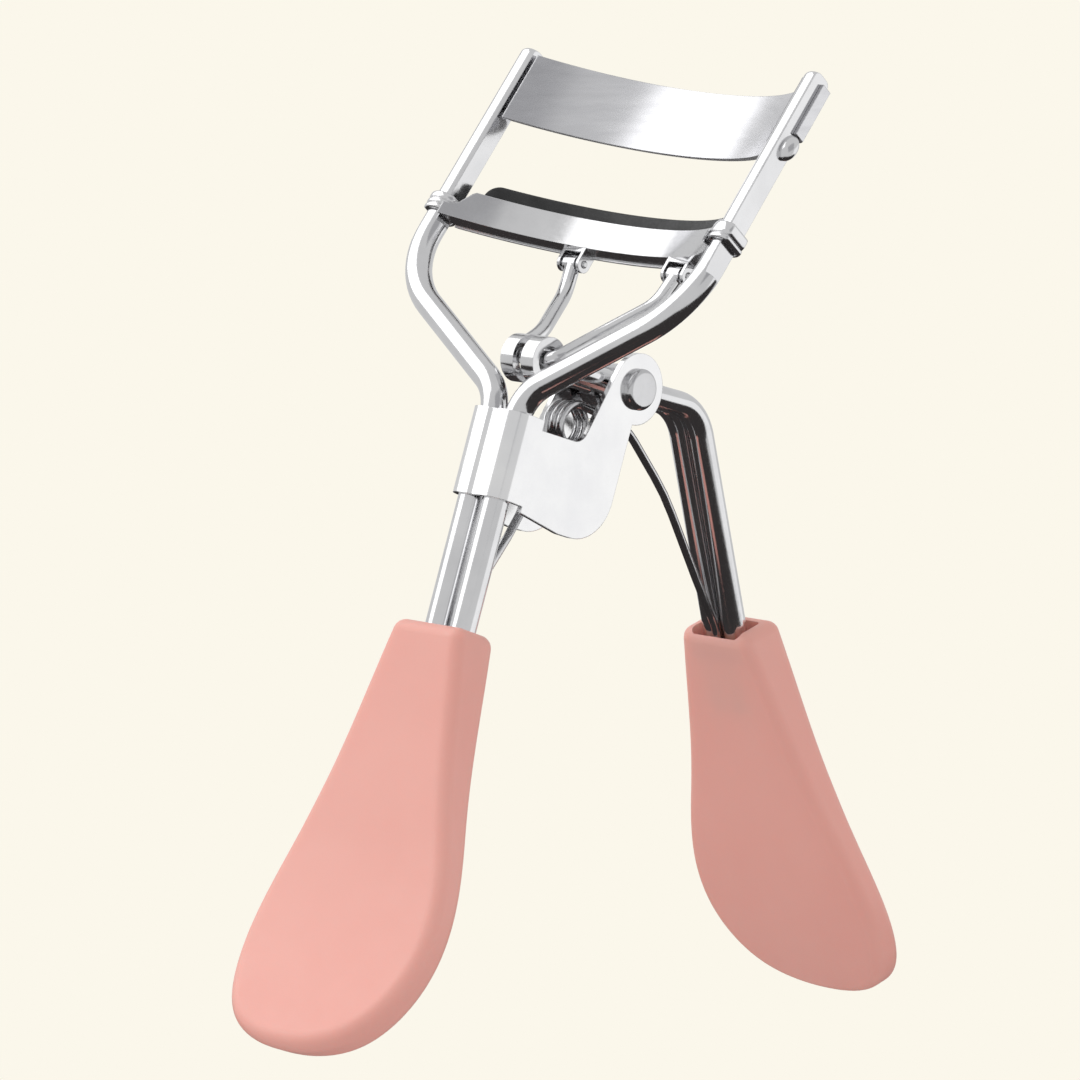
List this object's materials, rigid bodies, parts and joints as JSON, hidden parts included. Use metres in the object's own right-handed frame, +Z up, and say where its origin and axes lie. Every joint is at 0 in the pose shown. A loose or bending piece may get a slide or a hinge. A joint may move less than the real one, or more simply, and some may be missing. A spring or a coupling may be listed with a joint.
{
  "type": "eyelash curler",
  "caption": "Hand-held eyelash curler: a curved upper plate on two rails, a sliding lower bar with a rubber pad, a sprung lever and two plastic handles.",
  "frame": {"origin": "centre of the flat grip area on the outer face of the fixed handle", "axes": "+X along the pivot rivet, +Y from the fixed handle towards the lever handle, +Z up with the rails on top"},
  "size_m": [0.0388, 0.0807, 0.0951],
  "materials": {
    "frame_chrome": "polished",
    "plate_chrome": "polished, faintly brushed",
    "bracket_chrome": "polished",
    "jaw_chrome": "polished",
    "pin_steel": "polished",
    "spring_steel": "drawn wire",
    "pad_rubber": "matte",
    "pink_plastic": "satin"
  },
  "bodies": {
    "frame": {"frame_wire_left": "frame_chrome", "frame_wire_right": "frame_chrome", "upper_plate": "plate_chrome", "rail_stop_left": "frame_chrome", "rail_stop_right": "frame_chrome", "bracket": "bracket_chrome", "pivot_rivet": "pin_steel", "return_spring": "spring_steel", "fixed_handle": "pink_plastic"},
    "lower_jaw": {"lower_bar": "jaw_chrome", "guide_ring_left": "jaw_chrome", "guide_ring_right": "jaw_chrome", "rubber_pad": "pad_rubber", "wire_lug_left": "jaw_chrome", "wire_lug_right": "jaw_chrome", "lug_pin_left": "pin_steel", "lug_pin_right": "pin_steel"},
    "links": {"push_wire_left": "frame_chrome", "push_wire_right": "frame_chrome"},
    "lever": {"lever_rod_left": "frame_chrome", "lever_rod_right": "frame_chrome", "lever_handle": "pink_plastic"}
  },
  "joints": [
    {"name": "lever_pivot", "type": "hinge", "parent": "frame", "child": "lever", "pos_m": [0, 0.02879, 0.02777], "axis": [1, 0, 0], "range_deg": [-38, 0], "stiffness_Nm_per_rad": 0.3, "springref_deg": 11.46, "deforming": ["return_spring"]},
    {"name": "jaw_slide", "type": "slide", "parent": "frame", "child": "lower_jaw", "axis": [0, 0.6717, 0.7408], "range_m": [0, 0.0073]},
    {"name": "link_hinge", "type": "hinge", "parent": "lower_jaw", "child": "links", "pos_m": [0, 0.03061, 0.03881], "axis": [1, 0, 0], "range_deg": [-4, 0]}
  ],
  "couplings": [
    {"joint": "jaw_slide", "follows": "lever_pivot", "m_per_rad": -0.01083},
    {"joint": "link_hinge", "follows": "lever_pivot", "ratio": 0.0636}
  ]
}
